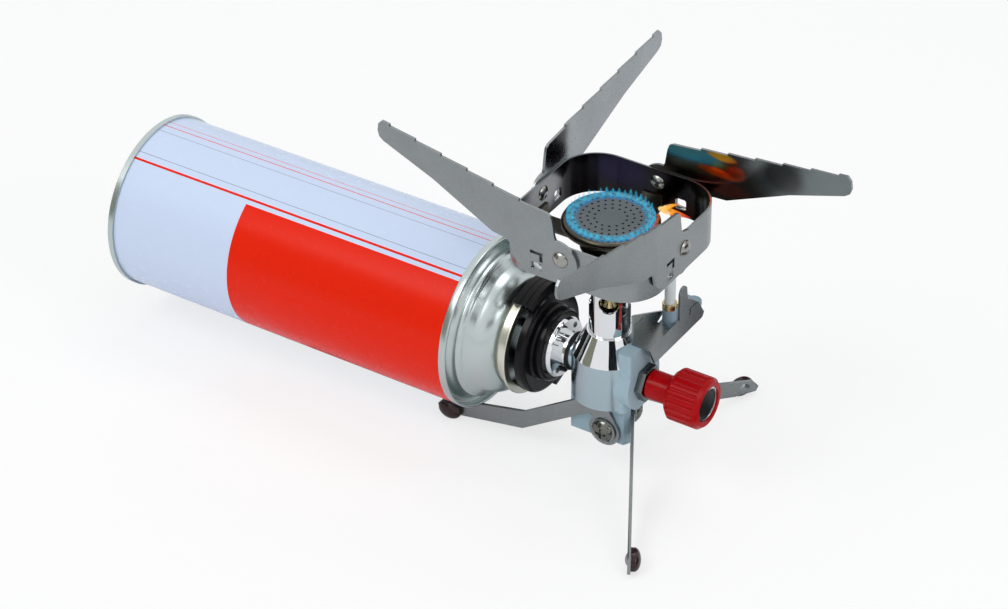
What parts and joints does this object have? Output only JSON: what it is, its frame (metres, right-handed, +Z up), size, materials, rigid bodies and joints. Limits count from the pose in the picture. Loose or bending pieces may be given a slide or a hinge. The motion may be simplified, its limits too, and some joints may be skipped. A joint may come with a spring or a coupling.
{
  "type": "butane cassette stove",
  "caption": "Folding single-burner camping stove with a horizontal gas cartridge, toothed swing-out pan arms on a square ring, folding legs, regulator knob and push igniter.",
  "frame": {"origin": "the burner's vertical axis where it meets the surface that the feet stand on", "axes": "+Z up along the burner axis, +X along the regulator knob, away from the cartridge"},
  "size_m": [0.2823, 0.158, 0.1348],
  "materials": {
    "cartridge_paint": "gloss lacquer, red field and white field",
    "tinplate": "bright tinplate",
    "white_plastic": "satin",
    "black_rubber": "matte",
    "spring_steel": "bright wire",
    "black_plastic": "gloss black",
    "chrome": "polished chrome plate",
    "bright_screws": "bright nickel plate",
    "body_metal": "satin pale blue-grey plated casting",
    "boss_metal": "matte light blue-grey casting",
    "brass": "machined brass",
    "steel_sheet": "satin stainless sheet",
    "cap_steel": "heat-dulled stainless sheet",
    "red_plastic": "gloss red",
    "grey_plastic": "satin blue-grey",
    "ceramic": "glazed white ceramic",
    "dark_wire": "heat-darkened wire",
    "dark_rubber": "glossy dark maroon rubber"
  },
  "bodies": {
    "stove": {"claw_plate": "black_plastic", "adapter_flange": "chrome", "adapter_screws": "bright_screws", "seal_ring": "black_rubber", "inlet_seal": "black_rubber", "valve_body": "body_metal", "valve_boss": "boss_metal", "base_block": "body_metal", "cone_nut": "chrome", "mixer_tube": "chrome", "jet": "brass", "packing_nut": "steel_sheet", "spindle_seal": "black_rubber", "burner_cup": "chrome", "burner_cap": "cap_steel", "ring_spider": "steel_sheet", "ring": "steel_sheet", "arm_rivets": "bright_screws", "igniter_bracket": "steel_sheet", "piezo_body": "grey_plastic", "ferrule": "brass", "ceramic_rod": "ceramic", "electrode": "dark_wire", "leg_screws": "bright_screws", "leg_washers": "steel_sheet"},
    "cartridge": {"can_shell": "cartridge_paint", "can_top": "tinplate", "can_base": "tinplate", "can_collar": "tinplate", "can_valve_cup": "tinplate", "can_stem": "white_plastic", "can_gasket": "black_rubber", "can_spring": "spring_steel"},
    "knob": {"spindle": "brass", "knob": "red_plastic", "knob_trim": "chrome", "knob_badge": "black_plastic"},
    "button": {"igniter_button": "grey_plastic"},
    "arm_1": {"arm_1": "steel_sheet"},
    "arm_2": {"arm_2": "steel_sheet"},
    "arm_3": {"arm_3": "steel_sheet"},
    "arm_4": {"arm_4": "steel_sheet"},
    "leg_1": {"leg_1": "steel_sheet", "foot_1": "dark_rubber"},
    "leg_2": {"leg_2": "steel_sheet", "foot_2": "dark_rubber"},
    "leg_3": {"leg_3": "steel_sheet", "foot_3": "dark_rubber"}
  },
  "joints": [
    {"name": "arm_1_fold", "type": "hinge", "parent": "stove", "child": "arm_1", "pos_m": [-0.00165, -0.0303, 0.1052], "axis": [0, -1, 0], "range_deg": [0, 45]},
    {"name": "arm_2_fold", "type": "hinge", "parent": "stove", "child": "arm_2", "pos_m": [-0.0303, 0.00165, 0.1052], "axis": [-1, 0, 0], "range_deg": [0, 75]},
    {"name": "arm_3_fold", "type": "hinge", "parent": "stove", "child": "arm_3", "pos_m": [0.00165, 0.0303, 0.1052], "axis": [0, 1, 0], "range_deg": [0, 75]},
    {"name": "arm_4_fold", "type": "hinge", "parent": "stove", "child": "arm_4", "pos_m": [0.0303, -0.00165, 0.1052], "axis": [1, 0, 0], "range_deg": [0, 75]},
    {"name": "leg_1_fold", "type": "hinge", "parent": "stove", "child": "leg_1", "pos_m": [0.0037, -0.0088, 0.0202], "axis": [0, -1, 0], "range_deg": [0, 76]},
    {"name": "leg_2_fold", "type": "hinge", "parent": "stove", "child": "leg_2", "pos_m": [0.00577, 0.0076, 0.0202], "axis": [0.866, 0.5, 0], "range_deg": [0, 76]},
    {"name": "leg_3_fold", "type": "hinge", "parent": "stove", "child": "leg_3", "pos_m": [-0.00947, 0.0012, 0.0202], "axis": [-0.866, 0.5, 0], "range_deg": [0, 76]},
    {"name": "knob_turn", "type": "hinge", "parent": "stove", "child": "knob", "pos_m": [0.03, 0, 0.0408], "axis": [1, 0, 0], "range_deg": [-180, 540]},
    {"name": "button_press", "type": "slide", "parent": "stove", "child": "button", "axis": [0, -1, 0], "range_m": [0, 0.004], "stiffness_N_per_m": 400, "springref_m": -0.001},
    {"name": "cartridge_twist", "type": "hinge", "parent": "stove", "child": "cartridge", "pos_m": [-0.1, 0, 0.043], "axis": [1, 0, 0], "range_deg": [0, 25]}
  ]
}
